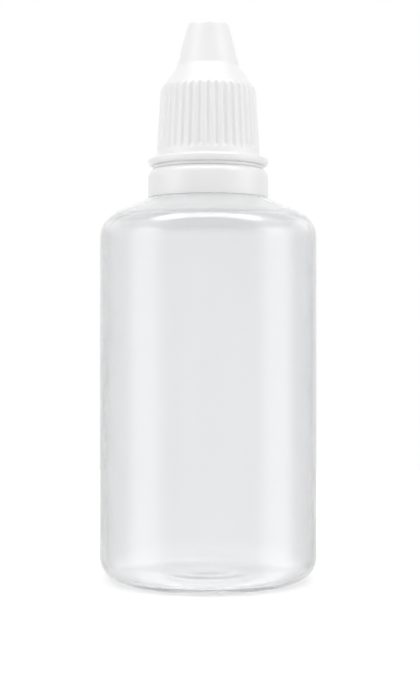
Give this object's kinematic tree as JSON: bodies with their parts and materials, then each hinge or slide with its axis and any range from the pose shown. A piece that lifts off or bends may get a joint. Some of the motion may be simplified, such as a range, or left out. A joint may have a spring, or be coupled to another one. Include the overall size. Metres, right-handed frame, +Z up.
{
  "type": "eye drop bottle",
  "caption": "Cylindrical squeeze dropper bottle with a nozzle plug in its threaded neck, a ribbed screw cap with a tall cone, and a tamper ring.",
  "frame": {"origin": "centre of the base, on the surface that the bottle stands on", "axes": "+Z up along the bottle's axis, towards the cap; X and Y are any two directions across the round body"},
  "size_m": [0.032, 0.032, 0.082],
  "materials": {
    "clear_squeeze_wall": "gloss",
    "natural_nozzle": "satin",
    "white_cap": "satin"
  },
  "bodies": {
    "bottle": {"bottle": "clear_squeeze_wall", "dropper_tip": "natural_nozzle"},
    "tamper_ring": {"tamper_ring": "white_cap"},
    "cap_carrier": {"cap_seal_pin": "white_cap"},
    "cap": {"cap": "white_cap"}
  },
  "joints": [
    {"name": "ring_spin", "type": "hinge", "parent": "bottle", "child": "tamper_ring", "pos_m": [0, 0, 0.0584], "axis": [0, 0, 1], "continuous": true},
    {"name": "cap_lift", "type": "slide", "parent": "bottle", "child": "cap_carrier", "axis": [0, 0, 1], "range_m": [0, 0.0211]},
    {"name": "cap_turn", "type": "hinge", "parent": "cap_carrier", "child": "cap", "pos_m": [0, 0, 0.065], "axis": [0, 0, 1], "range_deg": [0, 2520]}
  ],
  "couplings": [
    {"joint": "cap_lift", "follows": "cap_turn", "m_per_rad": 0.00047746}
  ]
}
